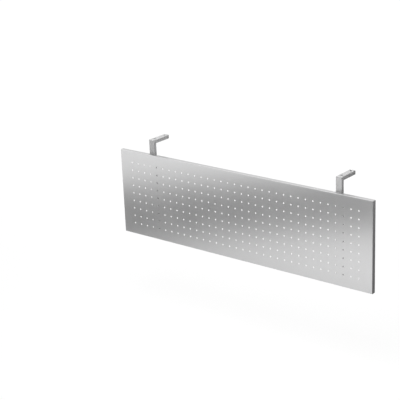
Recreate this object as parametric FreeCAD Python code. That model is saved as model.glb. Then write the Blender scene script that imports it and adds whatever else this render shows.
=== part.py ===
"""Desk privacy screen: a perforated, folded steel panel that hangs under a desk top on two brackets.

Millimetres. +X runs along the panel to the right as seen from the front, +Y to the rear, +Z up.
The origin is the middle of the four screw holes in the top faces of the arms, where the desk top rests.
"""

import os

import FreeCAD
import Part

Vector = FreeCAD.Vector
X_AXIS = Vector(1, 0, 0)
Y_AXIS = Vector(0, 1, 0)
Z_AXIS = Vector(0, 0, 1)

# Folded panel
PANEL_WIDTH = 1170.0
PANEL_HEIGHT = 350.0
PANEL_DEPTH = 17.0
SHEET = 1.0
INNER_BEND_RADIUS = 1.0
CORNER_RADIUS = 0.8
LIP_BEYOND_NUT = 5.25
LIP_END_GAP = 1.5

# Perforation of the panel's face
HOLE_DIAMETER = 6.0
HOLE_PITCH = 32.0
HOLE_MARGIN_SIDE = 57.0
HOLE_MARGIN_TOP = 47.0

# Rectangular tube of the legs and arms
TUBE_WIDTH = 25.0
TUBE_DEPTH = 15.0
TUBE_WALL = 1.5
TUBE_BORE_RADIUS = 0.5

# Bracket
ARM_RISE = 57.0
LEG_INSET = 151.0
LEG_FOOT_GAP = 3.0
WELD_RADIUS = 2.0

# Screw holes of the arm, towards the desk top
ARM_HOLE_DIAMETER = 9.0
ARM_HOLE_BEHIND_LEG = 0.5
ARM_HOLE_SPACING = 60.0
ARM_HOLE_FROM_END = 9.5

# Plastic end caps of the tubes
CAP_FLANGE = 2.5
CAP_EDGE_RADIUS = 0.8
CAP_TONGUE_LENGTH = 8.0
CAP_HOLE_CLEARANCE = 1.0
CAP_RIBS = 3
CAP_RIB_THICKNESS = 1.0
CAP_RIB_HEIGHT = 0.9
CAP_RIB_CLEARANCE = 0.1

# Screws and washers that hold the legs to the panel's lips
SCREW_DIAMETER = 5.0
SCREW_BEYOND_NUT = 2.7
SCREW_CLEARANCE = 0.25
THREAD_CLEARANCE = 0.05
HEAD_OVERHANG = 2.25
HEAD_HEIGHT = 2.75
HEAD_EDGE_RADIUS = 1.6
SOCKET_ACROSS_FLATS = 3.0
SOCKET_DEPTH = 1.6
WASHER_OVERHANG = 0.25
WASHER_THICKNESS = 1.0
ACCESS_CLEARANCE = 1.0
ACCESS_ABOVE_CAP = 1.7

# Clinch nuts pressed into the lips from inside the panel
NUT_HEIGHT = 3.8
NUT_SHOULDER = 1.55
NUT_CHAMFER = 0.4
NUT_SHANK_WALL = 0.7
NUT_SHANK_SETBACK = 0.03

# Sizes that follow from the ones above
TUBE_RADIUS = TUBE_BORE_RADIUS + TUBE_WALL
BORE_WIDTH = TUBE_WIDTH - 2 * TUBE_WALL
BORE_DEPTH = TUBE_DEPTH - 2 * TUBE_WALL
ARM_HOLE_FROM_FRONT = TUBE_DEPTH + ARM_HOLE_BEHIND_LEG + ARM_HOLE_DIAMETER / 2
ARM_LENGTH = ARM_HOLE_FROM_FRONT + ARM_HOLE_SPACING + ARM_HOLE_FROM_END
SCREW_HOLE_DIAMETER = SCREW_DIAMETER + 2 * SCREW_CLEARANCE
SCREW_LENGTH = WASHER_THICKNESS + TUBE_WALL + SHEET + NUT_HEIGHT + SCREW_BEYOND_NUT
HEAD_DIAMETER = SCREW_DIAMETER + 2 * HEAD_OVERHANG
WASHER_DIAMETER = HEAD_DIAMETER + 2 * WASHER_OVERHANG
ACCESS_DIAMETER = WASHER_DIAMETER + 2 * ACCESS_CLEARANCE
NUT_SHANK_DIAMETER = SCREW_DIAMETER + 2 * NUT_SHANK_WALL
NUT_DIAMETER = NUT_SHANK_DIAMETER + 2 * NUT_SHOULDER
CAP_LENGTH = CAP_FLANGE + CAP_TONGUE_LENGTH
SCREW_FROM_EDGE = LEG_FOOT_GAP + CAP_LENGTH + ACCESS_ABOVE_CAP + ACCESS_DIAMETER / 2
LIP_HEIGHT = SCREW_FROM_EDGE + NUT_DIAMETER / 2 + LIP_BEYOND_NUT
HOLE_COLUMNS = 1 + int((PANEL_WIDTH - 2 * HOLE_MARGIN_SIDE) / HOLE_PITCH + 1e-6)
HOLE_ROWS = 1 + int((PANEL_HEIGHT - 2 * HOLE_MARGIN_TOP) / HOLE_PITCH + 1e-6)

# Places that follow from the sizes
LEG_FRONT = -(ARM_HOLE_FROM_FRONT + ARM_HOLE_SPACING / 2)
LEG_MIDDLE = LEG_FRONT + TUBE_DEPTH / 2
LEG_REAR = LEG_FRONT + TUBE_DEPTH
LEG_X = PANEL_WIDTH / 2 - LEG_INSET
PANEL_FRONT = LEG_FRONT - PANEL_DEPTH
PANEL_TOP = -ARM_RISE
PANEL_BOTTOM = PANEL_TOP - PANEL_HEIGHT
PANEL_MIDDLE = (PANEL_TOP + PANEL_BOTTOM) / 2
LEG_FOOT = PANEL_BOTTOM + LEG_FOOT_GAP + CAP_FLANGE
SCREW_HEIGHTS = {"upper": PANEL_TOP - SCREW_FROM_EDGE, "lower": PANEL_BOTTOM + SCREW_FROM_EDGE}
SIDES = {"left": -1, "right": 1}


def box(x0, x1, y0, y1, z0, z1):
    """A box between two corners."""
    return Part.makeBox(x1 - x0, y1 - y0, z1 - z0, Vector(x0, y0, z0))


def rod(x, z, y0, y1, diameter):
    """A round rod along Y."""
    return Part.makeCylinder(diameter / 2, y1 - y0, Vector(x, y0, z), Y_AXIS)


def edges_along(shape, axis):
    """The straight edges of a shape that run along an axis."""
    lines = [edge for edge in shape.Edges if isinstance(edge.Curve, Part.Line)]
    return [edge for edge in lines if abs(edge.Curve.Direction.dot(axis)) > 0.999]


def bar(width, depth, radius, z0, z1):
    """An upright bar about the Z axis with round corners."""
    block = box(-width / 2, width / 2, -depth / 2, depth / 2, z0, z1)
    return block.makeFillet(radius, edges_along(block, Z_AXIS))


def tray(inset):
    """The panel's closed outer form, drawn in all round by an inset, with its folded edges rounded."""
    half = PANEL_WIDTH / 2 - inset
    front = PANEL_FRONT + inset
    block = box(-half, half, front, LEG_FRONT - inset, PANEL_BOTTOM + inset, PANEL_TOP - inset)
    side_folds = [e for e in edges_along(block, Z_AXIS) if e.BoundBox.YMax < LEG_FRONT - PANEL_DEPTH / 2]
    return block.makeFillet(INNER_BEND_RADIUS + SHEET - inset, edges_along(block, X_AXIS) + side_folds)


def rear_opening():
    """What is open at the rear of the panel: the space between the lips, and a gap at each end of a lip."""
    half = PANEL_WIDTH / 2 - SHEET
    front = LEG_FRONT - 2 * SHEET
    rear = LEG_FRONT + SHEET
    fold = INNER_BEND_RADIUS + SHEET
    middle = box(-half, half, front, rear, PANEL_BOTTOM + LIP_HEIGHT, PANEL_TOP - LIP_HEIGHT)
    gaps = []
    for x0 in (-half, half - LIP_END_GAP):
        gaps.append(box(x0, x0 + LIP_END_GAP, front, rear, PANEL_BOTTOM + fold, PANEL_TOP - fold))
    return [middle] + gaps


def perforation():
    """The round holes of the panel's face, in a square grid about its middle."""
    cutters = []
    for column in range(HOLE_COLUMNS):
        x = (column - (HOLE_COLUMNS - 1) / 2) * HOLE_PITCH
        for row in range(HOLE_ROWS):
            z = PANEL_MIDDLE + (row - (HOLE_ROWS - 1) / 2) * HOLE_PITCH
            cutters.append(rod(x, z, PANEL_FRONT - SHEET, PANEL_FRONT + 2 * SHEET, HOLE_DIAMETER))
    return cutters


def perforated_panel():
    """One folded sheet: the face, a return on each side, and a lip along the top and the bottom."""
    outer = tray(0)
    outer = outer.makeFillet(CORNER_RADIUS, edges_along(outer, Y_AXIS))
    cutters = [tray(SHEET)] + rear_opening() + perforation()
    for side in SIDES.values():
        for z in SCREW_HEIGHTS.values():
            x = side * LEG_X
            cutters.append(rod(x, z, LEG_FRONT - 2 * SHEET, LEG_FRONT + SHEET, NUT_SHANK_DIAMETER))
    return outer.cut(cutters)


def tube(length):
    """A rectangular tube about the Z axis, from the origin upwards."""
    outer = bar(TUBE_WIDTH, TUBE_DEPTH, TUBE_RADIUS, 0, length)
    return outer.cut(bar(BORE_WIDTH, BORE_DEPTH, TUBE_BORE_RADIUS, 0, length))


def below_mitre(x):
    """The space in front of and below the mitre plane, as a prism that takes in a whole leg."""
    reach = ARM_LENGTH + ARM_RISE + PANEL_HEIGHT
    corner = Vector(x - TUBE_WIDTH, LEG_FRONT, 0)
    upper = corner + Vector(0, -reach, reach)
    lower = corner + Vector(0, reach, -reach)
    front = corner + Vector(0, -reach, -reach)
    outline = Part.makePolygon([upper, lower, front, upper])
    return Part.Face(outline).extrude(Vector(2 * TUBE_WIDTH, 0, 0))


def weld_groove(x):
    """The chamfer along the outer edge of the mitre, between the tubes' round corners."""
    length = TUBE_WIDTH - 2 * TUBE_RADIUS
    corner = Vector(x - length / 2, LEG_FRONT, 0)
    rear = corner + Y_AXIS * WELD_RADIUS
    low = corner - Z_AXIS * WELD_RADIUS
    outline = Part.makePolygon([corner, rear, low, corner])
    return Part.Face(outline).extrude(X_AXIS * length)


def leg(side):
    """The upright tube behind the panel, mitred at the top, with the screws' holes front and rear."""
    x = side * LEG_X
    body = tube(-LEG_FOOT)
    body.translate(Vector(x, LEG_MIDDLE, LEG_FOOT))
    cutters = []
    for z in SCREW_HEIGHTS.values():
        cutters.append(rod(x, z, LEG_FRONT - TUBE_WALL, LEG_MIDDLE, SCREW_HOLE_DIAMETER))
        cutters.append(rod(x, z, LEG_MIDDLE, LEG_REAR + TUBE_WALL, ACCESS_DIAMETER))
    return body.common(below_mitre(x)).cut(cutters + [weld_groove(x)])


def arm(side):
    """The level tube under the desk top, mitred at the front, with two screw holes right through."""
    x = side * LEG_X
    body = tube(ARM_LENGTH)
    body.rotate(Vector(), X_AXIS, -90)
    body.translate(Vector(x, LEG_FRONT, -TUBE_DEPTH / 2))
    cutters = [below_mitre(x), weld_groove(x)]
    for y in (-ARM_HOLE_SPACING / 2, ARM_HOLE_SPACING / 2):
        start = Vector(x, y, -2 * TUBE_DEPTH)
        cutters.append(Part.makeCylinder(ARM_HOLE_DIAMETER / 2, 3 * TUBE_DEPTH, start))
    return body.cut(cutters)


def corner_weld(side):
    """The weld that fills the groove along the outer edge of the mitre, ground to a round edge."""
    x = side * LEG_X
    round_edge = Vector(x - TUBE_WIDTH / 2, LEG_FRONT + WELD_RADIUS, -WELD_RADIUS)
    return weld_groove(x).common(Part.makeCylinder(WELD_RADIUS, TUBE_WIDTH, round_edge, X_AXIS))


def end_cap():
    """A plug for a tube's end: a flange below the origin, and above it two ribbed tongues.

    The tongues stand apart, so that the arm's rear screw hole passes between them.
    """
    flange = bar(TUBE_WIDTH, TUBE_DEPTH, TUBE_RADIUS, -CAP_FLANGE, 0)
    rim = [edge for edge in flange.Edges if edge.BoundBox.ZMax < -CAP_FLANGE / 2]
    flange = flange.makeFillet(CAP_EDGE_RADIUS, rim)
    rib_width = BORE_WIDTH - 2 * CAP_RIB_CLEARANCE
    rib_depth = BORE_DEPTH - 2 * CAP_RIB_CLEARANCE
    core_x = rib_width / 2 - CAP_RIB_HEIGHT
    core_y = rib_depth / 2 - CAP_RIB_HEIGHT
    core = box(-core_x, core_x, -core_y, core_y, 0, CAP_TONGUE_LENGTH)
    ribs = []
    for number in range(CAP_RIBS):
        middle = (number + 0.5) * CAP_TONGUE_LENGTH / CAP_RIBS
        low = middle - CAP_RIB_THICKNESS / 2
        ribs.append(bar(rib_width, rib_depth, TUBE_BORE_RADIUS, low, low + CAP_RIB_THICKNESS))
    apart = ARM_HOLE_DIAMETER / 2 + CAP_HOLE_CLEARANCE
    between = box(-apart, apart, -TUBE_DEPTH, TUBE_DEPTH, 0, CAP_TONGUE_LENGTH)
    return flange.fuse([core.fuse(ribs).cut(between)])


def leg_end_cap(side):
    """The plug in the foot of a leg."""
    cap = end_cap()
    cap.translate(Vector(side * LEG_X, LEG_MIDDLE, LEG_FOOT))
    return cap


def arm_end_cap(side):
    """The plug in the rear end of an arm."""
    cap = end_cap()
    cap.rotate(Vector(), X_AXIS, 90)
    cap.translate(Vector(side * LEG_X, LEG_FRONT + ARM_LENGTH, -TUBE_DEPTH / 2))
    return cap


def screw(side, level):
    """A button-head socket screw, put in from the rear through the leg's access hole."""
    x = side * LEG_X
    z = SCREW_HEIGHTS[level]
    seat = LEG_FRONT + TUBE_WALL + WASHER_THICKNESS
    top = seat + HEAD_HEIGHT
    shank = rod(x, z, seat - SCREW_LENGTH, seat, SCREW_DIAMETER - 2 * THREAD_CLEARANCE)
    head = rod(x, z, seat, top, HEAD_DIAMETER)
    rim = [edge for edge in head.Edges if edge.BoundBox.YMin > top - HEAD_HEIGHT / 2]
    head = head.makeFillet(HEAD_EDGE_RADIUS, rim)
    centre = Vector(x, top - SOCKET_DEPTH, z)
    corner = X_AXIS * (SOCKET_ACROSS_FLATS / 3**0.5)
    corners = [centre + FreeCAD.Rotation(Y_AXIS, 60 * turn).multVec(corner) for turn in range(7)]
    socket = Part.Face(Part.makePolygon(corners)).extrude(Y_AXIS * HEAD_HEIGHT)
    return head.fuse(shank).cut(socket)


def washer(side, level):
    """The flat washer between a screw's head and the inner face of the leg's front wall."""
    seat = LEG_FRONT + TUBE_WALL
    place = (side * LEG_X, SCREW_HEIGHTS[level], seat, seat + WASHER_THICKNESS)
    return rod(*place, WASHER_DIAMETER).cut(rod(*place, SCREW_HOLE_DIAMETER))


def clinch_nut(side, level):
    """A round nut on the inner face of a lip, its shank pressed into the lip and just short of flush."""
    x = side * LEG_X
    z = SCREW_HEIGHTS[level]
    seat = LEG_FRONT - SHEET
    front = seat - NUT_HEIGHT
    body = rod(x, z, front, seat, NUT_DIAMETER)
    rim = [edge for edge in body.Edges if edge.BoundBox.YMax < seat - NUT_HEIGHT / 2]
    body = body.makeChamfer(NUT_CHAMFER, rim)
    shank = rod(x, z, seat, LEG_FRONT - NUT_SHANK_SETBACK, NUT_SHANK_DIAMETER)
    return body.fuse(shank).cut(rod(x, z, front, LEG_FRONT, SCREW_DIAMETER))


def pieces():
    """Every piece of the screen by name."""
    made = {"perforated_panel": perforated_panel()}
    for name, side in SIDES.items():
        made[f"{name}_leg"] = leg(side)
        made[f"{name}_arm"] = arm(side)
        made[f"{name}_corner_weld"] = corner_weld(side)
        made[f"{name}_leg_end_cap"] = leg_end_cap(side)
        made[f"{name}_arm_end_cap"] = arm_end_cap(side)
        for level in SCREW_HEIGHTS:
            made[f"{name}_{level}_screw"] = screw(side, level)
            made[f"{name}_{level}_washer"] = washer(side, level)
            made[f"{name}_{level}_clinch_nut"] = clinch_nut(side, level)
    return made


def main():
    os.makedirs("parts", exist_ok=True)
    for name, shape in pieces().items():
        if len(shape.Solids) != 1 or not shape.isValid():
            raise ValueError(f"{name} is not one sound solid")
        shape.Solids[0].exportStep(f"parts/{name}.step")
        print(f"{name}: {shape.Volume / 1000:.2f} cm3")


main()
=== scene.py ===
"""Desk screen: a perforated steel panel on two tube brackets, with its finishes and a studio."""

import math

import bmesh
import bpy
from bpy.props import FloatProperty, FloatVectorProperty, IntProperty, PointerProperty
from bpy.types import Operator, Panel, PropertyGroup
from mathutils import Matrix, Vector


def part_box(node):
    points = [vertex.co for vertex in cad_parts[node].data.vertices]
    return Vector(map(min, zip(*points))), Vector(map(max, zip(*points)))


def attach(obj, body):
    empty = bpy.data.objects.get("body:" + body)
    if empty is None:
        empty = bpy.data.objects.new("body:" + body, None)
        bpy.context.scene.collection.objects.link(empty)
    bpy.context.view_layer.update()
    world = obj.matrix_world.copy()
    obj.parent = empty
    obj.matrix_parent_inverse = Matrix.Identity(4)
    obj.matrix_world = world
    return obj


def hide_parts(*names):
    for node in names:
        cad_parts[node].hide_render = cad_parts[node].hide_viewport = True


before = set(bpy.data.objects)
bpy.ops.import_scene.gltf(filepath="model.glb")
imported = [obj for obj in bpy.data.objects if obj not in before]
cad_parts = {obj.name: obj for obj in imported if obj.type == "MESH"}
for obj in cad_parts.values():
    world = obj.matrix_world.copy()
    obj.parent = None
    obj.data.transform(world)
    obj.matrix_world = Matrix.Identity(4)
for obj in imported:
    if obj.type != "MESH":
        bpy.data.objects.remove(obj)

bl_info = {
    "name": "Desk screen",
    "version": (1, 0, 0),
    "blender": (4, 5, 0),
    "location": "View3D > Sidebar > Desk screen",
    "description": "Builds a perforated desk screen with brackets, fixings, finishes and studio",
    "category": "Add Mesh",
}

MM = 0.001
NEAR = 1e-5
QUARTER = math.pi / 2
X, Y, Z = range(3)
BODY = "root"
SIDES = ("left", "right")
LEVELS = ("upper", "lower")

# Places taken from the frame
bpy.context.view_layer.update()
PANEL_LOW, PANEL_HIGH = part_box("perforated_panel")
LEG_LOW, LEG_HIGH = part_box("right_leg")
ARM_LOW, ARM_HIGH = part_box("right_arm")
WELD_LOW, WELD_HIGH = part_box("right_corner_weld")
SCREW_LOW, SCREW_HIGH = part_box("right_upper_screw")
LOWER_SCREW_LOW, LOWER_SCREW_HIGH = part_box("right_lower_screw")
WASHER_LOW, WASHER_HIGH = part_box("right_upper_washer")
NUT_LOW, NUT_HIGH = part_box("right_upper_clinch_nut")
FACE = Vector((0.0, PANEL_LOW.y, (PANEL_LOW.z + PANEL_HIGH.z) / 2))
TUBE_WIDTH = LEG_HIGH.x - LEG_LOW.x
TUBE_DEPTH = LEG_HIGH.y - LEG_LOW.y
WELD_HALF = (WELD_HIGH.x - WELD_LOW.x) / 2
BRACKET_X = (LEG_LOW.x + LEG_HIGH.x) / 2
UPPER_FIXING = (SCREW_LOW.z + SCREW_HIGH.z) / 2
LOWER_FIXING = (LOWER_SCREW_LOW.z + LOWER_SCREW_HIGH.z) / 2

# Angles between two faces, in radians, from which their edge counts as folded, as cut or as crisp
FOLDED = 1.0
CUT = 1.2
CRISP = {"tube": 0.6, "weld": 0.9, "plug": 0.7, "screw": 0.75, "washer": 0.75, "nut": 0.6}

# The thread, in shares of its pitch: its depth, and half its width at the foot
THREAD_DEPTH = 0.62
THREAD_FOOT = 0.42

# The studio, in metres. Cards stand about the middle of the panel's face, each with its start, its
# end, its height at both and its grey. Mats lie on the floor, each with its outline and its grey.
CARDS = {
    "front_card": ((-1.6, -0.45, -0.4525), (0.75, -0.45, 0.0984), (0.2826, 0.2036), 0.16),
    "rear_card": ((-4.0, 2.2, 1.3), (0.8, 2.2, 1.3), (2.4, 2.4), 0.72),
}
MATS = {
    "right_mat": (
        ((0.45, -2.0), (3.5, -2.0), (3.5, 4.0), (0.1, 4.0), (0.1, 0.7), (0.75, 0.0)), 0.1
    ),
    "left_mat": (((-2.8, -0.9), (-1.2, -0.9), (-1.2, 0.6), (-2.8, 0.6)), 0.1),
    # Painted shadow: the front and under mats stand for the object's own soft shadow on the floor
    # close to it, and only its gloss sees them
    "front_mat": (((-1.1, -0.68), (0.74, -0.68), (0.74, -0.12), (-1.1, -0.12)), 0.68),
    "under_mat": (((-1.1, -0.12), (0.6, -0.12), (0.6, 0.6), (-1.1, 0.6)), 0.2),
}
MAT_ABOVE_FLOOR = 0.01
FLOOR_REACH = 40.0
# Lamps by the name of their power, each with its width, its height and its place
LAMPS = {
    "overhead": (1.9, 1.9, (0.26, -1.1, 2.6)),
    "key": (1.0, 0.4, (0.8, -0.85, -0.36)),
    "rear": (1.0, 1.0, (-1.4, 1.8, 0.7)),
}


def length(name, description, default):
    """A length property, in metres."""
    return FloatProperty(
        name=name, description=description, default=default, min=0.0, precision=5, unit="LENGTH"
    )


def number_of(name, description, default, least):
    """A property that counts things."""
    return IntProperty(name=name, description=description, default=default, min=least)


def bearing(name, description, degrees):
    """An angle property, from its default in degrees."""
    return FloatProperty(
        name=name, description=description, default=math.radians(degrees), subtype="ANGLE"
    )


def colour(name, description, default):
    """A colour property, in linear values."""
    return FloatVectorProperty(
        name=name, description=description, default=default, size=3, min=0.0, max=1.0,
        subtype="COLOR",
    )


def share(name, description, default):
    """A property between nothing and one."""
    return FloatProperty(
        name=name, description=description, default=default, min=0.0, max=1.0, subtype="FACTOR"
    )


def power(name, description, default):
    """The power of a lamp, in watts."""
    return FloatProperty(
        name=name, description=description, default=default, min=0.0, unit="POWER"
    )


class PanelSizes(PropertyGroup):
    """Sizes of the folded, perforated sheet."""

    sheet: length("Sheet", "Thickness of the steel sheet", 1.0 * MM)
    fold: length("Fold radius", "Outer radius of the folded edges", 2.0 * MM)
    corner: length("Corner radius", "Outer radius of the corners between two returns", 1.1 * MM)
    lip: length("Lip height", "Height of the rear lips at the top and the bottom", 31.2 * MM)
    lip_gap: length("Lip end gap", "Gap between a lip's end and the side return", 1.5 * MM)
    bend_relief: length("Bend relief", "Cut past the bend at a lip's end", 0.5 * MM)
    hole: length("Hole diameter", "Diameter of the round holes", 6.0 * MM)
    pitch: length("Hole pitch", "Distance between the middles of two holes", 32.0 * MM)
    columns: number_of("Hole columns", "Holes along the panel", 34, 2)
    rows: number_of("Hole rows", "Holes up the panel", 9, 2)
    edge: length("Cut edge", "Rounding of the punched and cut edges under the lacquer", 0.12 * MM)


class BracketSizes(PropertyGroup):
    """Sizes of the mitred tubes, their holes and the corner welds."""

    wall: length("Tube wall", "Wall thickness of the tubes", 1.5 * MM)
    corner: length("Tube corner", "Outer corner radius of the tubes", 2.0 * MM)
    bore_corner: length("Bore corner", "Inner corner radius of the tubes", 0.5 * MM)
    arm_hole: length("Arm hole", "Diameter of the desk screw holes", 9.0 * MM)
    arm_hole_spacing: length("Arm hole spacing", "Distance between an arm's two holes", 60.0 * MM)
    screw_hole: length("Screw hole", "Diameter of the holes in a leg's front wall", 5.5 * MM)
    access_hole: length("Access hole", "Diameter of the holes in a leg's rear wall", 12.0 * MM)
    rim: length("Hole rim", "Rounding of the holes' rims", 0.3 * MM)
    weld: length("Weld radius", "Radius of the ground weld on the outer edge", 2.0 * MM)
    ripple: length("Weld ripple", "Depth of the marks left on the ground weld", 0.05 * MM)


class CapSizes(PropertyGroup):
    """Sizes of the plugs in the tubes' ends."""

    flange: length("Flange", "Thickness of the part that covers the tube's end", 2.5 * MM)
    edge: length("Edge radius", "Rounding of the flange's outer edge", 0.8 * MM)
    tongue: length("Tongue length", "Length of the two tongues inside the tube", 8.0 * MM)
    apart: length("Tongue gap", "Half the gap between the two tongues", 5.5 * MM)
    rib: length("Rib height", "Height of the ribs that grip the bore", 0.9 * MM)
    rib_thickness: length("Rib thickness", "Thickness of a rib", 1.0 * MM)
    slack: length("Rib slack", "Slack between a rib and the bore", 0.1 * MM)
    ribs: number_of("Ribs", "Ribs on each tongue", 3, 1)


class FixingSizes(PropertyGroup):
    """Sizes of the screws, washers and clinch nuts."""

    thread: length("Thread diameter", "Outer diameter of the screw's thread", 4.9 * MM)
    pitch: length("Thread pitch", "Rise of the thread in one turn", 0.8 * MM)
    head_height: length("Head height", "Height of the button head", 2.75 * MM)
    socket: length("Socket", "Width of the hexagon socket across its flats", 3.0 * MM)
    socket_depth: length("Socket depth", "Depth of the hexagon socket", 1.6 * MM)
    washer_hole: length("Washer hole", "Inner diameter of a washer", 5.5 * MM)
    nut_height: length("Nut height", "Height of a nut's body above the lip", 3.8 * MM)
    nut_shank: length("Nut shank", "Diameter of the shank pressed into the lip", 6.4 * MM)
    nut_bore: length("Nut bore", "Diameter of the nut's thread", 5.0 * MM)


class FinishColours(PropertyGroup):
    """Colours of the finishes, and the metal and roughness of the lacquers."""

    panel: colour("Panel lacquer", "Silver lacquer of the panel", (0.764, 0.764, 0.767))
    bracket: colour("Bracket lacquer", "Silver lacquer of the brackets", (0.5, 0.5, 0.502))
    cap: colour("Cap plastic", "Grey plastic of the plugs", (0.19, 0.19, 0.193))
    zinc: colour("Zinc", "Zinc plating of screws, washers and nuts", (0.62, 0.63, 0.65))
    panel_metal: share("Panel metal", "Share of metal flake in the panel's lacquer", 0.97)
    panel_roughness: share("Panel roughness", "Roughness of the panel's lacquer", 0.36)
    bracket_metal: share("Bracket metal", "Share of metal flake in the brackets' lacquer", 0.18)
    bracket_roughness: share("Bracket roughness", "Roughness of the brackets' lacquer", 0.5)


class StudioSettings(PropertyGroup):
    """The camera, the floor and the light."""

    azimuth: bearing("Azimuth", "Turn of the camera to the right of the front", 39.33)
    elevation: bearing("Elevation", "Height of the camera as an angle", 19.26)
    roll: bearing("Roll", "Turn of the camera about its own axis", -2.31)
    distance: length("Distance", "Distance from the camera to its aim", 4.765)
    lens: FloatProperty(
        name="Lens", description="Focal length", default=111.28, min=1.0, unit="CAMERA"
    )
    aim: FloatVectorProperty(
        name="Aim", description="Point the camera looks at, from the middle of the panel's face",
        default=(-0.185, 0.0, 0.034), size=3, subtype="TRANSLATION", unit="LENGTH",
    )
    drop: length("Floor below the panel", "Space between the panel and the floor", 0.30)
    fill: share("Fill light", "Strength of the even light from all round", 0.09)
    overhead: power("Overhead lamp", "Power of the soft lamp overhead", 112.0)
    key: power("Key lamp", "Power of the low soft lamp in front", 5.0)
    rear: power("Rear lamp", "Power of the soft lamp behind", 40.0)


class ScreenSettings(PropertyGroup):
    """All settings of the desk screen."""

    panel: PointerProperty(type=PanelSizes)
    bracket: PointerProperty(type=BracketSizes)
    cap: PointerProperty(type=CapSizes)
    fixing: PointerProperty(type=FixingSizes)
    finish: PointerProperty(type=FinishColours)
    studio: PointerProperty(type=StudioSettings)


class Socket:
    """A socket of a node tree; arithmetic with it adds Math nodes."""

    def __init__(self, tree, outlet=None):
        self.tree = tree
        self.outlet = outlet

    def node(self, kind, settings, inlets, outlet=0):
        """Add a node, set it up, fill or link its sockets, and give one of its outputs."""
        made = self.tree.nodes.new(kind)
        for name, value in settings.items():
            setattr(made, name, value)
        for name, value in inlets.items():
            if isinstance(value, Socket):
                self.tree.links.new(value.outlet, made.inputs[name])
            else:
                made.inputs[name].default_value = value
        return Socket(self.tree, made.outputs[outlet] if len(made.outputs) else None)

    def math(self, operation, first, second):
        """A Math node on two values."""
        return self.node("ShaderNodeMath", {"operation": operation}, {0: first, 1: second})

    def __add__(self, other):
        return self.math("ADD", self, other)

    def __radd__(self, other):
        return self.math("ADD", other, self)

    def __sub__(self, other):
        return self.math("SUBTRACT", self, other)

    def __rsub__(self, other):
        return self.math("SUBTRACT", other, self)

    def __mul__(self, other):
        return self.math("MULTIPLY", self, other)

    def __rmul__(self, other):
        return self.math("MULTIPLY", other, self)


def new_finish(name):
    """An empty material and the start of its node tree."""
    material = bpy.data.materials.new(name)
    material.use_nodes = True
    material.node_tree.nodes.clear()
    return material, Socket(material.node_tree)


def finish_of(name, surface_values):
    """The finish of this name, made the first time from a rule that gives its surface's values."""
    if name not in bpy.data.materials:
        start = new_finish(name)[1]
        place = start.node("ShaderNodeTexCoord", {}, {}, "Object")
        surface = start.node("ShaderNodeBsdfPrincipled", {}, surface_values(start, place))
        start.node("ShaderNodeOutputMaterial", {}, {"Surface": surface})
    return bpy.data.materials[name]


def noise(start, place, spots, detail):
    """Soft noise, with about so many spots to a metre."""
    inlets = {"Vector": place, "Scale": spots, "Detail": detail}
    return start.node("ShaderNodeTexNoise", {}, inlets, 0)


def specks(start, place, spots):
    """Small specks, each with a value of its own, about so many to a metre."""
    inlets = {"Vector": place, "Scale": spots}
    cells = start.node("ShaderNodeTexVoronoi", {"feature": "F1"}, inlets, "Color")
    return start.node("ShaderNodeSeparateColor", {}, {"Color": cells}, 0)


def relief(start, height, strength, depth):
    """Small bumps on the surface."""
    inlets = {"Height": height, "Strength": strength, "Distance": depth}
    return start.node("ShaderNodeBump", {}, inlets)


def shade(base, factor):
    """A colour made lighter or darker, as a socket value."""
    return tuple(min(1.0, channel * factor) for channel in base) + (1.0,)


def mixed(start, factor, first, second):
    """A colour between two others; the node's colour sockets go by number."""
    inlets = {0: factor, 6: first, 7: second}
    return start.node("ShaderNodeMix", {"data_type": "RGBA"}, inlets, 2)


def swing(value, span):
    """A value between nothing and one, turned into a swing of this span about nothing."""
    return (value - 0.5) * span


def silver_lacquer(name, base, metal, roughness):
    """Silver lacquer on steel: fine flake, faint orange peel and a slow drift in tone."""

    def surface_values(start, place):
        flake = specks(start, place, spots=1500.0)
        drift = noise(start, place, spots=5.0, detail=3.0)
        peel = noise(start, place, spots=380.0, detail=1.0)
        tone = flake * 0.6 + drift * 0.4
        return {
            "Base Color": mixed(start, tone, shade(base, 0.95), shade(base, 1.05)),
            "Metallic": metal,
            "Roughness": roughness + swing(flake, 0.06) + swing(drift, 0.08),
            "Normal": relief(start, peel, strength=0.06, depth=0.4 * MM),
        }

    return finish_of(name, surface_values)


def bracket_lacquer(finish):
    """The lacquer that the tubes and their welds share."""
    return silver_lacquer(
        "Bracket lacquer", finish.bracket, finish.bracket_metal, finish.bracket_roughness
    )


def cap_plastic(base):
    """Grey moulded plastic with a fine eroded grain."""

    def surface_values(start, place):
        grain = noise(start, place, spots=2200.0, detail=2.0)
        cloud = noise(start, place, spots=160.0, detail=2.0)
        tone = grain * 0.5 + cloud * 0.5
        return {
            "Base Color": mixed(start, tone, shade(base, 0.88), shade(base, 1.12)),
            "Roughness": 0.48 + swing(cloud, 0.15),
            "Normal": relief(start, grain, strength=0.25, depth=0.05 * MM),
        }

    return finish_of("Cap plastic", surface_values)


def zinc_plate(base):
    """Zinc plating: small mottled crystals with a bluish cast, under a soft bloom."""
    red, green, blue = base
    cool = (red * 0.86, green * 0.9, blue * 0.97, 1.0)

    def surface_values(start, place):
        crystals = specks(start, place, spots=900.0)
        bloom = noise(start, place, spots=420.0, detail=3.0)
        tone = crystals * 0.5 + bloom * 0.5
        return {
            "Base Color": mixed(start, tone, cool, shade(base, 1.08)),
            "Metallic": 1.0,
            "Roughness": 0.24 + crystals * 0.14 + bloom * 0.08,
            "Normal": relief(start, bloom, strength=0.15, depth=0.05 * MM),
        }

    return finish_of("Zinc plate", surface_values)


def put(name, data):
    """A new object in the scene."""
    made = bpy.data.objects.new(name, data)
    bpy.context.scene.collection.objects.link(made)
    return made


def mesh_of(bm, name):
    """A mesh from a finished bmesh, with its faces turned outwards and shaded smooth."""
    bmesh.ops.recalc_face_normals(bm, faces=bm.faces)
    mesh = bpy.data.meshes.new(name)
    bm.to_mesh(mesh)
    bm.free()
    mesh.shade_smooth()
    return mesh


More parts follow.
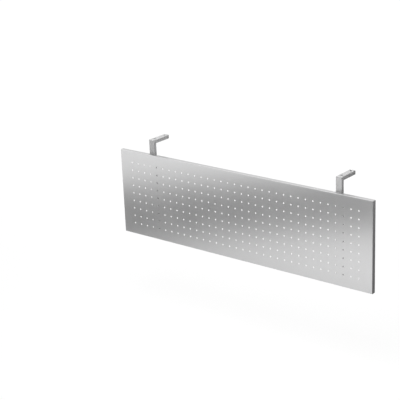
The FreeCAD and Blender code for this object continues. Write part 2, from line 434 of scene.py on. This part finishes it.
def worked(mesh, steps):
    """The mesh after a list of modifiers, as a plain mesh."""
    blank = put(mesh.name, mesh)
    for kind, settings in steps:
        step = blank.modifiers.new(kind, kind)
        for name, value in settings.items():
            if kind == "NODES" and name != "node_group":
                step[name] = value
            else:
                setattr(step, name, value)
    state = bpy.context.evaluated_depsgraph_get()
    made = bpy.data.meshes.new_from_object(blank.evaluated_get(state))
    bpy.data.objects.remove(blank)
    bpy.data.meshes.remove(mesh)
    return made


def add_piece(name, mesh, material, nodes):
    """A finished piece at the origin that stands for its nodes of the frame."""
    mesh.name = name
    mesh.materials.clear()
    mesh.materials.append(material)
    piece = put(name, mesh)
    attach(piece, BODY)
    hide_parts(*nodes)


def upright_grid():
    """A node tree that sets copies of a shape in an upright grid of columns and rows."""
    name = "Upright grid"
    if name in bpy.data.node_groups:
        return bpy.data.node_groups[name]
    tree = bpy.data.node_groups.new(name, "GeometryNodeTree")
    sockets = (
        ("Shape", "NodeSocketGeometry"), ("Columns", "NodeSocketInt"), ("Rows", "NodeSocketInt"),
        ("Column Spacing", "NodeSocketFloat"), ("Row Spacing", "NodeSocketFloat"),
        ("Middle", "NodeSocketVector"), ("Finish", "NodeSocketMaterial"),
    )
    for label, kind in sockets:
        tree.interface.new_socket(label, in_out="INPUT", socket_type=kind)
    tree.interface.new_socket("Copies", in_out="OUTPUT", socket_type="NodeSocketGeometry")
    source = tree.nodes.new("NodeGroupInput")
    given = {label: Socket(tree, source.outputs[label]) for label, kind in sockets}
    start = Socket(tree)
    grid = start.node(
        "GeometryNodeMeshGrid", {},
        {
            "Size X": (given["Columns"] - 1) * given["Column Spacing"],
            "Vertices X": given["Columns"],
            "Size Y": (given["Rows"] - 1) * given["Row Spacing"],
            "Vertices Y": given["Rows"],
        },
    )
    points = start.node(
        "GeometryNodeTransform", {},
        {"Geometry": grid, "Translation": given["Middle"], "Rotation": (QUARTER, 0.0, 0.0)},
    )
    copies = start.node(
        "GeometryNodeInstanceOnPoints", {}, {"Points": points, "Instance": given["Shape"]}
    )
    solid = start.node("GeometryNodeRealizeInstances", {}, {"Geometry": copies})
    dressed = start.node(
        "GeometryNodeSetMaterial", {}, {"Geometry": solid, "Material": given["Finish"]}
    )
    start.node("NodeGroupOutput", {}, {"Copies": dressed})
    return tree


def on_grid(mesh, columns, rows, spacing, middle, material):
    """Copies of a shape in an upright grid, as one plain mesh."""
    tree = upright_grid()
    values = {
        "Columns": columns, "Rows": rows, "Column Spacing": spacing[0], "Row Spacing": spacing[1],
        "Middle": tuple(middle), "Finish": material,
    }
    settings = {"node_group": tree}
    for item in tree.interface.items_tree:
        if item.name in values:
            settings[item.identifier] = values[item.name]
    return worked(mesh, [("NODES", settings)])


def perforation_cell(sizes):
    """One square of the sheet with its hole, facing the front."""
    sides = 16
    bm = bmesh.new()
    rim, border = [], []
    for number in range(sides):
        angle = number * 2 * math.pi / sides
        across, up = math.cos(angle), math.sin(angle)
        reach = sizes.pitch / 2 / max(abs(across), abs(up))
        rim.append(bm.verts.new((sizes.hole / 2 * across, 0.0, sizes.hole / 2 * up)))
        border.append(bm.verts.new((reach * across, 0.0, reach * up)))
    for number in range(sides):
        after = (number + 1) % sides
        bm.faces.new((rim[number], border[number], border[after], rim[after]))
    mesh = bpy.data.meshes.new("perforation_cell")
    bm.to_mesh(mesh)
    bm.free()
    return mesh


def draw_out(bm, chosen, axis, value):
    """Draw out the open edges whose two points are chosen, up to a value on one axis."""
    edges = [
        edge for edge in bm.edges
        if edge.is_boundary and all(chosen(vert.co) for vert in edge.verts)
    ]
    if not edges:
        raise RuntimeError("the sheet has no open edge to draw out")
    for item in bmesh.ops.extrude_edge_only(bm, edges=edges)["geom"]:
        if isinstance(item, bmesh.types.BMVert):
            item.co[axis] = value


def folded_sheet(sizes, mesh):
    """The perforated middle grown into the whole sheet, with its returns and lips, as a skin."""
    bm = bmesh.new()
    bm.from_mesh(mesh)
    bpy.data.meshes.remove(mesh)
    bmesh.ops.remove_doubles(bm, verts=bm.verts, dist=NEAR)
    front, rear = PANEL_LOW.y, PANEL_HIGH.y
    across = sizes.columns * sizes.pitch / 2
    up = sizes.rows * sizes.pitch / 2
    lip_end = PANEL_HIGH.x - sizes.sheet - sizes.lip_gap
    for sign in (-1, 1):
        draw_out(bm, lambda co: abs(co.x - sign * across) < NEAR, X, sign * lip_end)
        draw_out(bm, lambda co: abs(co.x - sign * lip_end) < NEAR, X, sign * PANEL_HIGH.x)
    for start, end in ((FACE.z - up, PANEL_LOW.z), (FACE.z + up, PANEL_HIGH.z)):
        draw_out(bm, lambda co: abs(co.z - start) < NEAR, Z, end)
    # The returns up to the bends, then the top and bottom ones only as far along as the lips
    bend = rear - sizes.fold - sizes.bend_relief
    returns = [(Z, PANEL_LOW.z), (Z, PANEL_HIGH.z), (X, PANEL_LOW.x), (X, PANEL_HIGH.x)]
    for axis, end in returns:
        draw_out(bm, lambda co: abs(co[axis] - end) < NEAR and abs(co.y - front) < NEAR, Y, bend)
    bmesh.ops.remove_doubles(bm, verts=bm.verts, dist=NEAR)
    for axis, end in returns:
        reach = lip_end if axis == Z else PANEL_HIGH.x

        def on_bend(co):
            level = abs(co[axis] - end) < NEAR and abs(co.y - bend) < NEAR
            return level and abs(co.x) < reach + NEAR

        draw_out(bm, on_bend, Y, rear)
    # Cut off the side returns' rear corners beside the bends
    for vert in bm.verts:
        at_rear = abs(abs(vert.co.x) - PANEL_HIGH.x) < NEAR and abs(vert.co.y - rear) < NEAR
        for end, drop in ((PANEL_LOW.z, rear - bend), (PANEL_HIGH.z, bend - rear)):
            if at_rear and abs(vert.co.z - end) < NEAR:
                vert.co.z = end + drop
    for end, lip in ((PANEL_LOW.z, sizes.lip), (PANEL_HIGH.z, -sizes.lip)):
        draw_out(bm, lambda co: abs(co.z - end) < NEAR and abs(co.y - rear) < NEAR, Z, end + lip)
    weights = bm.edges.layers.float.new("bevel_weight_edge")
    for edge in bm.edges:
        if len(edge.link_faces) == 2 and edge.calc_face_angle() > FOLDED:
            along = edge.verts[1].co - edge.verts[0].co
            between_returns = abs(along.y) > abs(along.x) + abs(along.z)
            edge[weights] = sizes.corner / sizes.fold if between_returns else 1.0
    return mesh_of(bm, "folded_sheet")


def mark_cut_edges(sizes, mesh):
    """Mark the punched and cut edges for rounding, apart from the short ones round the corners."""
    bm = bmesh.new()
    bm.from_mesh(mesh)
    weights = bm.edges.layers.float["bevel_weight_edge"]
    side = PANEL_HIGH.x - sizes.corner - NEAR
    end = (PANEL_HIGH.z - PANEL_LOW.z) / 2 - sizes.corner - NEAR

    def at_corner(vert):
        return abs(vert.co.x) > side and abs(vert.co.z - FACE.z) > end

    for edge in bm.edges:
        sharp = edge.calc_face_angle() > CUT
        edge[weights] = 1.0 if sharp and not any(at_corner(vert) for vert in edge.verts) else 0.0
    bm.to_mesh(mesh)
    bm.free()


class DESKSCREEN_OT_panel(Operator):
    """Make the perforated, folded panel"""

    bl_idname = "desk_screen.panel"
    bl_label = "Perforated panel"

    def execute(self, context):
        settings = context.scene.desk_screen
        sizes = settings.panel
        finish = settings.finish
        lacquer = silver_lacquer(
            "Panel lacquer", finish.panel, finish.panel_metal, finish.panel_roughness
        )
        spacing = (sizes.pitch, sizes.pitch)
        face = on_grid(
            perforation_cell(sizes), sizes.columns, sizes.rows, spacing, FACE, lacquer
        )
        folding = [
            ("BEVEL", {"limit_method": "WEIGHT", "width": sizes.fold, "segments": 4}),
            ("SOLIDIFY", {"thickness": sizes.sheet, "offset": -1.0, "use_even_offset": True}),
        ]
        rounding = [
            ("BEVEL", {"limit_method": "WEIGHT", "width": sizes.edge, "segments": 1}),
            ("WELD", {"merge_threshold": NEAR}),
            ("WEIGHTED_NORMAL", {"keep_sharp": False}),
        ]
        sheet = worked(folded_sheet(sizes, face), folding)
        mark_cut_edges(sizes, sheet)
        sheet = worked(sheet, rounding)
        add_piece("panel_sheet", sheet, lacquer, ["perforated_panel"])
        return {"FINISHED"}


def rounded_rectangle(width, depth, radius, steps=5):
    """Points round a rounded rectangle about its middle."""
    points = []
    for quarter, (across, up) in enumerate(((1, 1), (-1, 1), (-1, -1), (1, -1))):
        middle = Vector((across * (width / 2 - radius), up * (depth / 2 - radius)))
        for step in range(steps + 1):
            angle = (quarter + step / steps) * QUARTER
            points.append(middle + radius * Vector((math.cos(angle), math.sin(angle))))
    return points


def skin(bm, loops, closed=False, ends=False):
    """Faces from each loop of points to the next, back to the first, or over both ends.

    A loop of one point is a tip.
    """
    pairs = list(zip(loops, loops[1:]))
    if closed:
        pairs.append((loops[-1], loops[0]))
    for first, second in pairs:
        count = max(len(first), len(second))
        for number in range(count):
            after = (number + 1) % count
            corners = [first[number % len(first)], first[after % len(first)]]
            corners += [second[after % len(second)], second[number % len(second)]]
            bm.faces.new(list(dict.fromkeys(corners)))
    if ends:
        bm.faces.new(loops[0])
        bm.faces.new(loops[-1])


def tube(name, sizes, place):
    """A rectangular tube.

    The rule place turns a point of its section and an end, 0 or 1, into a point in space.
    """
    bore_width, bore_depth = TUBE_WIDTH - 2 * sizes.wall, TUBE_DEPTH - 2 * sizes.wall
    outer = rounded_rectangle(TUBE_WIDTH, TUBE_DEPTH, sizes.corner)
    inner = rounded_rectangle(bore_width, bore_depth, sizes.bore_corner)
    bm = bmesh.new()
    loops = []
    for section, end in ((outer, 0), (outer, 1), (inner, 1), (inner, 0)):
        loops.append([bm.verts.new(place(point.x, point.y, end)) for point in section])
    skin(bm, loops, closed=True)
    return mesh_of(bm, name)


def add_rod(bm, place, diameter, depth, axis):
    """A round cutting rod about a point, along Y or Z."""
    turn = Matrix.Rotation(QUARTER, 4, "X") if axis == Y else Matrix.Identity(4)
    bmesh.ops.create_cone(
        bm, cap_ends=True, segments=32, radius1=diameter / 2, radius2=diameter / 2, depth=depth,
        matrix=Matrix.Translation(place) @ turn,
    )


def add_groove(bm, x, sizes):
    """The three-sided cutting bar for the weld along the outer edge of a mitre."""
    reach = 3 * sizes.weld
    corners = ((sizes.weld + reach, reach), (-reach, reach), (-reach, -sizes.weld - reach))
    loops = []
    for end in (-WELD_HALF, WELD_HALF):
        loops.append([bm.verts.new((x + end, LEG_LOW.y + y, z)) for y, z in corners])
    skin(bm, loops, ends=True)


def cut(mesh, cutters):
    """A mesh with the cutters' shapes taken out of it."""
    name = mesh.name
    tool_mesh = mesh_of(cutters, "cutters")
    tool = put("cutters", tool_mesh)
    step = {"operation": "DIFFERENCE", "solver": "EXACT", "object": tool}
    made = worked(mesh, [("BOOLEAN", step)])
    made.name = name
    bpy.data.objects.remove(tool)
    bpy.data.meshes.remove(tool_mesh)
    return made


def soft_rims(mesh, holes, radius):
    """Round the rims of round holes, each given by a point, a diameter and the axis it follows."""
    bm = bmesh.new()
    bm.from_mesh(mesh)
    rims = []
    for edge in bm.edges:
        if len(edge.link_faces) != 2 or edge.calc_face_angle() < CUT:
            continue
        for place, diameter, axis in holes:
            offsets = [vert.co - place for vert in edge.verts]
            for offset in offsets:
                offset[axis] = 0.0
            if all(abs(offset.length - diameter / 2) < NEAR for offset in offsets):
                rims.append(edge)
                break
    if not rims:
        raise RuntimeError("no hole rim was found on " + mesh.name)
    bmesh.ops.bevel(
        bm, geom=rims, offset=radius, segments=2, profile=0.5, affect="EDGES", clamp_overlap=True
    )
    bm.to_mesh(mesh)
    bm.free()
    mesh.shade_smooth()
    mesh.set_sharp_from_angle(angle=CRISP["tube"])
    return worked(mesh, [("WEIGHTED_NORMAL", {"keep_sharp": True})])


def leg(sizes, x):
    """An upright tube behind the panel, mitred at the top."""
    middle = (LEG_LOW.y + LEG_HIGH.y) / 2

    def place(across, back, end):
        return (x + across, middle + back, -(back + TUBE_DEPTH / 2) if end else LEG_LOW.z)

    cutters = bmesh.new()
    holes = []
    for z in (UPPER_FIXING, LOWER_FIXING):
        for y, diameter in ((LEG_LOW.y, sizes.screw_hole), (LEG_HIGH.y, sizes.access_hole)):
            spot = Vector((x, y, z))
            add_rod(cutters, spot, diameter, TUBE_DEPTH / 2, Y)
            holes.append((spot, diameter, Y))
    add_groove(cutters, x, sizes)
    return soft_rims(cut(tube("leg", sizes, place), cutters), holes, sizes.rim)


def arm(sizes, x):
    """A level tube under the desk top, mitred at the front."""
    depth = ARM_HIGH.z - ARM_LOW.z

    def place(across, up, end):
        y = ARM_HIGH.y if end else ARM_LOW.y + depth / 2 - up
        return (x + across, y, up - depth / 2)

    cutters = bmesh.new()
    holes = []
    for y in (-sizes.arm_hole_spacing / 2, sizes.arm_hole_spacing / 2):
        spot = Vector((x, y, -depth / 2))
        add_rod(cutters, spot, sizes.arm_hole, 2 * depth, Z)
        holes.append((spot, sizes.arm_hole, Z))
    add_groove(cutters, x, sizes)
    return soft_rims(cut(tube("arm", sizes, place), cutters), holes, sizes.rim)


class DESKSCREEN_OT_brackets(Operator):
    """Make the legs and arms of the two brackets"""

    bl_idname = "desk_screen.brackets"
    bl_label = "Bracket tubes"

    def execute(self, context):
        settings = context.scene.desk_screen
        lacquer = bracket_lacquer(settings.finish)
        for side, x in zip(SIDES, (-BRACKET_X, BRACKET_X)):
            for part, make in (("leg", leg), ("arm", arm)):
                node = f"{side}_{part}"
                mesh = make(settings.bracket, x)
                add_piece(f"{node}_tube", mesh, lacquer, [node])
        return {"FINISHED"}


def corner_weld(sizes, x):
    """The ground weld on the outer edge of a mitre, with faint cross marks."""
    steps = 6
    marks, slices_in_mark = 14, 3
    slices = marks * slices_in_mark
    bm = bmesh.new()
    loops = []
    for number in range(slices + 1):
        along = WELD_HALF * (2 * number / slices - 1)
        depth = sizes.ripple * (0.5 - 0.5 * math.cos(number * 2 * math.pi / slices_in_mark))
        loop = []
        for step in range(steps + 1):
            angle = QUARTER * step / steps
            radius = sizes.weld - (depth if 0 < step < steps else 0.0)
            back = sizes.weld - radius * math.sin(angle)
            up = radius * math.cos(angle) - sizes.weld
            loop.append(bm.verts.new((x + along, LEG_LOW.y + back, up)))
        loops.append(loop)
    skin(bm, loops, ends=True)
    mesh = mesh_of(bm, "corner_weld")
    mesh.set_sharp_from_angle(angle=CRISP["weld"])
    return mesh


class DESKSCREEN_OT_welds(Operator):
    """Make the welds on the brackets' outer corners"""

    bl_idname = "desk_screen.welds"
    bl_label = "Corner welds"

    def execute(self, context):
        settings = context.scene.desk_screen
        lacquer = bracket_lacquer(settings.finish)
        for side, x in zip(SIDES, (-BRACKET_X, BRACKET_X)):
            node = f"{side}_corner_weld"
            mesh = corner_weld(settings.bracket, x)
            add_piece(f"{node}_bead", mesh, lacquer, [node])
        return {"FINISHED"}


def add_block(bm, low, high):
    """A block between two corners."""
    low, high = Vector(low), Vector(high)
    place = Matrix.Translation((low + high) / 2) @ Matrix.Diagonal((high - low).to_4d())
    bmesh.ops.create_cube(bm, size=1.0, matrix=place)


def end_cap(sizes, tube_sizes):
    """A plug about the Z axis: a flange with a rounded edge below, two ribbed tongues above."""
    steps = 4
    outline = [(0.0, 0.0)]
    for step in range(steps + 1):
        angle = QUARTER * step / steps
        inset = sizes.edge * (1 - math.cos(angle))
        outline.append((inset, sizes.edge * (1 - math.sin(angle)) - sizes.flange))
    bm = bmesh.new()
    loops = []
    for inset, z in outline:
        section = rounded_rectangle(
            TUBE_WIDTH - 2 * inset, TUBE_DEPTH - 2 * inset, tube_sizes.corner - inset
        )
        loops.append([bm.verts.new((point.x, point.y, z)) for point in section])
    skin(bm, loops, ends=True)
    out_x = TUBE_WIDTH / 2 - tube_sizes.wall - sizes.slack
    out_y = TUBE_DEPTH / 2 - tube_sizes.wall - sizes.slack
    for sign in (-1, 1):
        spans = [(0.0, sizes.tongue, sizes.rib)]
        for number in range(sizes.ribs):
            middle = (number + 0.5) * sizes.tongue / sizes.ribs
            half = sizes.rib_thickness / 2
            spans.append((middle - half, middle + half, 0.0))
        for low, high, inset in spans:
            ends = sorted((sign * sizes.apart, sign * (out_x - inset)))
            add_block(bm, (ends[0], inset - out_y, low), (ends[1], out_y - inset, high))
    mesh = mesh_of(bm, "end_cap")
    mesh.set_sharp_from_angle(angle=CRISP["plug"])
    return worked(mesh, [("WEIGHTED_NORMAL", {"keep_sharp": True})])


class DESKSCREEN_OT_caps(Operator):
    """Make the plugs in the ends of the legs and arms"""

    bl_idname = "desk_screen.caps"
    bl_label = "End caps"

    def execute(self, context):
        settings = context.scene.desk_screen
        plastic = cap_plastic(settings.finish.cap)
        for side, x in zip(SIDES, (-BRACKET_X, BRACKET_X)):
            foot = Matrix.Translation((x, (LEG_LOW.y + LEG_HIGH.y) / 2, LEG_LOW.z))
            rear = Matrix.Translation((x, ARM_HIGH.y, (ARM_LOW.z + ARM_HIGH.z) / 2))
            rear = rear @ Matrix.Rotation(QUARTER, 4, "X")
            for part, place in (("leg", foot), ("arm", rear)):
                mesh = end_cap(settings.cap, settings.bracket)
                mesh.transform(place)
                node = f"{side}_{part}_end_cap"
                add_piece(f"{node}_plug", mesh, plastic, [node])
        return {"FINISHED"}


def turned(bm, outline, closed=False, sides=24):
    """A form turned about the Y axis; a radius is a number, or a rule with one for each angle."""
    loops = []
    for radius, y in outline:
        if radius == 0:
            loops.append([bm.verts.new((0.0, y, 0.0))])
            continue
        loop = []
        for number in range(sides):
            angle = number * 2 * math.pi / sides
            reach = radius(angle) if callable(radius) else radius
            loop.append(bm.verts.new((reach * math.cos(angle), y, reach * math.sin(angle))))
        loops.append(loop)
    skin(bm, loops, closed)


def thread_core(sizes):
    """Radius of the screw under its thread."""
    return sizes.thread / 2 - THREAD_DEPTH * sizes.pitch


def add_thread(bm, sizes, low, high):
    """A winding ridge round the screw's core, tapered into it at both ends."""
    sides = 20
    count = int((high - low) / sizes.pitch * sides)
    core = thread_core(sizes)
    foot = core - 0.1 * MM
    half_foot = THREAD_FOOT * sizes.pitch
    half_crest = 0.06 * MM
    loops = []
    for number in range(count + 1):
        angle = number * 2 * math.pi / sides
        y = low + (high - low) * number / count
        swell = min(1.0, number / sides, (count - number) / sides)
        crest = core + (sizes.thread / 2 - core) * swell
        ridge = ((foot, -half_foot), (crest, -half_crest), (crest, half_crest), (foot, half_foot))
        loop = []
        for radius, shift in ridge:
            place = (radius * math.cos(angle), y + shift, radius * math.sin(angle))
            loop.append(bm.verts.new(place))
        loops.append(loop)
    skin(bm, loops, ends=True)


def button_screw(sizes):
    """A button-head screw with a hexagon socket; its head's seat is at the origin."""
    head = (SCREW_HIGH.x - SCREW_LOW.x) / 2
    top = sizes.head_height
    tip = SCREW_LOW.y - SCREW_HIGH.y + top
    core = thread_core(sizes)
    crown = 0.66 * head
    point_inset, point_length = 0.4 * MM, 0.5 * MM
    seat_bevel, head_band = 0.25 * MM, 0.7 * MM
    mouth_bevel, drill_point = 0.12 * MM, 0.3 * MM
    thread_clear = 0.6 * MM
    dome_steps = 5

    def hexagon(angle):
        return sizes.socket / 2 / math.cos((angle % (math.pi / 3)) - math.pi / 6)

    def mouth(angle):
        return hexagon(angle) + mouth_bevel

    outline = [
        (0, tip), (core - point_inset, tip), (core, tip + point_length), (core, 0.0),
        (head - seat_bevel, 0.0), (head, seat_bevel), (head, head_band),
    ]
    for step in range(1, dome_steps + 1):
        angle = QUARTER * step / dome_steps
        radius = crown + (head - crown) * math.cos(angle)
        outline.append((radius, head_band + (top - head_band) * math.sin(angle)))
    floor = top - sizes.socket_depth
    outline += [
        (mouth, top), (hexagon, top - mouth_bevel), (hexagon, floor), (0, floor - drill_point),
    ]
    bm = bmesh.new()
    turned(bm, outline)
    add_thread(bm, sizes, tip + thread_clear, -thread_clear)
    mesh = mesh_of(bm, "button_screw")
    mesh.set_sharp_from_angle(angle=CRISP["screw"])
    return mesh


def flat_washer(sizes):
    """A stamped washer with one rounded and one sharper face, its front on the origin."""
    outer = (WASHER_HIGH.x - WASHER_LOW.x) / 2
    inner = sizes.washer_hole / 2
    depth = WASHER_HIGH.y - WASHER_LOW.y
    soft, crisp = 0.25 * MM, 0.08 * MM
    eased = 0.3 * soft
    outline = [
        (inner, crisp), (inner + crisp, 0.0), (outer - crisp, 0.0), (outer, crisp),
        (outer, depth - soft), (outer - eased, depth - eased), (outer - soft, depth),
        (inner + soft, depth), (inner + eased, depth - eased), (inner, depth - soft),
    ]
    bm = bmesh.new()
    turned(bm, outline, closed=True, sides=32)
    mesh = mesh_of(bm, "flat_washer")
    mesh.set_sharp_from_angle(angle=CRISP["washer"])
    return mesh


def clinch_nut(sizes):
    """A round clinch nut with a toothed collar, its seat at the origin and its shank behind."""
    body = (NUT_HIGH.x - NUT_LOW.x) / 2
    shank = sizes.nut_shank / 2
    bore = sizes.nut_bore / 2
    end = NUT_HIGH.y - NUT_LOW.y - sizes.nut_height
    front = -sizes.nut_height
    sides = 48
    bevel, rim = 0.4 * MM, 0.1 * MM
    tooth, tooth_run_out, tooth_start = 0.18 * MM, -1.3 * MM, -1.1 * MM
    groove = 0.2 * MM
    groove_start, groove_middle, groove_end = 0.35 * end, 0.5 * end, 0.65 * end

    def toothed(angle):
        return body - (tooth if round(angle * sides / (2 * math.pi)) % 2 else 0.0)

    outline = [
        (bore, front + bevel), (bore + bevel, front), (body - bevel, front), (body, front + bevel),
        (body, tooth_run_out), (toothed, tooth_start), (toothed, 0.0), (shank, 0.0),
        (shank, groove_start), (shank - groove, groove_middle), (shank, groove_end),
        (shank - rim, end), (bore + rim, end), (bore, end - rim),
    ]
    bm = bmesh.new()
    turned(bm, outline, closed=True, sides=sides)
    mesh = mesh_of(bm, "clinch_nut")
    mesh.set_sharp_from_angle(angle=CRISP["nut"])
    return mesh


class DESKSCREEN_OT_fixings(Operator):
    """Make the screws, washers and clinch nuts that hold the panel to the legs"""

    bl_idname = "desk_screen.fixings"
    bl_label = "Fixings"

    def execute(self, context):
        settings = context.scene.desk_screen
        sizes = settings.fixing
        zinc = zinc_plate(settings.finish.zinc)
        spacing = (2 * BRACKET_X, UPPER_FIXING - LOWER_FIXING)
        height = (UPPER_FIXING + LOWER_FIXING) / 2
        shapes = (
            ("screw", button_screw(sizes), SCREW_HIGH.y - sizes.head_height),
            ("washer", flat_washer(sizes), WASHER_LOW.y),
            ("clinch_nut", clinch_nut(sizes), NUT_LOW.y + sizes.nut_height),
        )
        for name, shape, seat in shapes:
            mesh = on_grid(shape, 2, 2, spacing, (0.0, seat, height), zinc)
            nodes = [f"{side}_{level}_{name}" for side in SIDES for level in LEVELS]
            add_piece(f"{name}s", mesh, zinc, nodes)
        return {"FINISHED"}


def bright_rays(start):
    """One for rays that show the background, from the camera or off gloss, else nothing."""
    path = start.tree.nodes.new("ShaderNodeLightPath")
    names = ("Is Camera Ray", "Is Glossy Ray", "Is Transmission Ray", "Diffuse Depth")
    camera, gloss, through, bounces = (Socket(start.tree, path.outputs[name]) for name in names)
    seen = start.math("MAXIMUM", start.math("MAXIMUM", camera, gloss), through)
    return seen * (1.0 - start.math("MINIMUM", bounces, 1.0))


def white_world(studio):
    """An even surround that shows as white and lights the object only faintly."""
    world = bpy.data.worlds.new("White surround")
    bpy.context.scene.world = world
    world.use_nodes = True
    world.node_tree.nodes.clear()
    start = Socket(world.node_tree)
    strength = studio.fill + bright_rays(start) * (1.0 - studio.fill)
    inlets = {"Color": (1.0, 1.0, 1.0, 1.0), "Strength": strength}
    light = start.node("ShaderNodeBackground", {}, inlets)
    start.node("ShaderNodeOutputWorld", {}, {"Surface": light})


def pale_floor():
    """The floor's finish: white where it shows, with a faint shadow of the object close to it."""
    material, start = new_finish("Pale floor")
    place = start.node("ShaderNodeTexCoord", {}, {}, "Object")
    away = start.node("ShaderNodeVectorMath", {"operation": "LENGTH"}, {0: place}, "Value")
    fade = {"Value": away, "From Min": 1.5, "From Max": 4.0, "To Min": 0.88, "To Max": 1.0}
    white = start.node("ShaderNodeMapRange", {}, fade)
    lit = start.node("ShaderNodeBsdfDiffuse", {}, {"Color": (0.6, 0.6, 0.6, 1.0)})
    inlets = {"Color": (1.0, 1.0, 1.0, 1.0), "Strength": 1.05}
    glow = start.node("ShaderNodeEmission", {}, inlets)
    inlets = {0: bright_rays(start) * white, 1: lit, 2: glow}
    surface = start.node("ShaderNodeMixShader", {}, inlets)
    start.node("ShaderNodeOutputMaterial", {}, {"Surface": surface})
    return material


def grey_card(name, level):
    """The finish of a card that only shows as a reflection."""
    material, start = new_finish(name)
    inlets = {"Color": (level, level, level, 1.0), "Strength": 1.0}
    glow = start.node("ShaderNodeEmission", {}, inlets)
    start.node("ShaderNodeOutputMaterial", {}, {"Surface": glow})
    return material


def add_board(name, corners, material):
    """A flat board of the studio."""
    mesh = bpy.data.meshes.new(name)
    mesh.from_pydata([tuple(corner) for corner in corners], [], [tuple(range(len(corners)))])
    mesh.materials.append(material)
    board = put(name, mesh)
    return board


def add_hidden_board(name, corners, level):
    """A grey board that only the object's gloss sees."""
    board = add_board(name, corners, grey_card(name, level))
    board.visible_camera = False
    board.visible_diffuse = False
    board.visible_shadow = False
    board.visible_transmission = False
    board.visible_volume_scatter = False


def add_card(name, start, end, heights, level):
    """An upright grey card about a line from a start to an end, with a height at each."""
    start, end = FACE + Vector(start), FACE + Vector(end)
    rise, fall = (Vector((0.0, 0.0, height / 2)) for height in heights)
    add_hidden_board(name, [start - rise, end - fall, end + fall, start + rise], level)


def add_lamp(name, watts, width, height, place):
    """A soft lamp turned towards the panel's face; it doesn't show as a reflection."""
    light = bpy.data.lights.new(name, "AREA")
    light.shape = "RECTANGLE"
    light.size = width
    light.size_y = height
    light.energy = watts
    lamp = put(name, light)
    lamp.location = place
    lamp.rotation_euler = (FACE - Vector(place)).to_track_quat("-Z", "Y").to_euler()
    lamp.visible_camera = False
    lamp.visible_glossy = False


def add_camera(studio):
    """The camera, set back from its aim and turned about its own axis."""
    camera = bpy.data.cameras.new("camera")
    camera.lens = studio.lens
    camera.sensor_width = 36.0
    camera.clip_end = 100.0
    turn, rise, roll = studio.azimuth, studio.elevation, studio.roll
    level = math.cos(rise)
    back = Vector((math.sin(turn) * level, -math.cos(turn) * level, math.sin(rise)))
    right = Vector((math.cos(turn), math.sin(turn), 0.0))
    up = back.cross(right)
    rolled_right = right * math.cos(roll) + up * math.sin(roll)
    rolled_up = up * math.cos(roll) - right * math.sin(roll)
    axes = Matrix((rolled_right, rolled_up, back)).transposed()
    place = FACE + Vector(studio.aim) + back * studio.distance
    stand = put("camera", camera)
    stand.matrix_world = Matrix.Translation(place) @ axes.to_4x4()
    bpy.context.scene.camera = stand


class DESKSCREEN_OT_stage(Operator):
    """Set up the camera, the floor and the light"""

    bl_idname = "desk_screen.stage"
    bl_label = "Studio"

    def execute(self, context):
        studio = context.scene.desk_screen.studio
        context.scene.view_settings.view_transform = "Standard"
        white_world(studio)
        ground = PANEL_LOW.z - studio.drop
        square = ((-1, -1), (1, -1), (1, 1), (-1, 1))
        corners = [(x * FLOOR_REACH, y * FLOOR_REACH, ground) for x, y in square]
        add_board("floor", corners, pale_floor())
        for name, (start, end, heights, level) in CARDS.items():
            add_card(name, start, end, heights, level)
        for name, (outline, level) in MATS.items():
            corners = [(x, y, ground + MAT_ABOVE_FLOOR) for x, y in outline]
            add_hidden_board(name, corners, level)
        for name, (width, height, place) in LAMPS.items():
            add_lamp(f"{name}_lamp", getattr(studio, name), width, height, place)
        add_camera(studio)
        return {"FINISHED"}


OPERATORS = (
    DESKSCREEN_OT_panel, DESKSCREEN_OT_brackets, DESKSCREEN_OT_welds, DESKSCREEN_OT_caps,
    DESKSCREEN_OT_fixings, DESKSCREEN_OT_stage,
)
GROUPS = (
    PanelSizes, BracketSizes, CapSizes, FixingSizes, FinishColours, StudioSettings, ScreenSettings,
)


class VIEW3D_PT_desk_screen(Panel):
    """The desk screen's settings and steps"""

    bl_label = "Desk screen"
    bl_space_type = "VIEW_3D"
    bl_region_type = "UI"
    bl_category = "Desk screen"

    def draw(self, context):
        settings = context.scene.desk_screen
        for name in ScreenSettings.__annotations__:
            group = getattr(settings, name)
            column = self.layout.box().column()
            column.label(text=name.capitalize())
            for item in type(group).__annotations__:
                column.prop(group, item)
        for operator in OPERATORS:
            self.layout.operator(operator.bl_idname)


CLASSES = GROUPS + OPERATORS + (VIEW3D_PT_desk_screen,)


def register():
    for kind in CLASSES:
        bpy.utils.register_class(kind)
    bpy.types.Scene.desk_screen = PointerProperty(type=ScreenSettings)


def unregister():
    del bpy.types.Scene.desk_screen
    for kind in reversed(CLASSES):
        bpy.utils.unregister_class(kind)


def main():
    register()
    bpy.ops.desk_screen.panel()
    bpy.ops.desk_screen.brackets()
    bpy.ops.desk_screen.welds()
    bpy.ops.desk_screen.caps()
    bpy.ops.desk_screen.fixings()
    bpy.ops.desk_screen.stage()


if __name__ == "__main__":
    main()
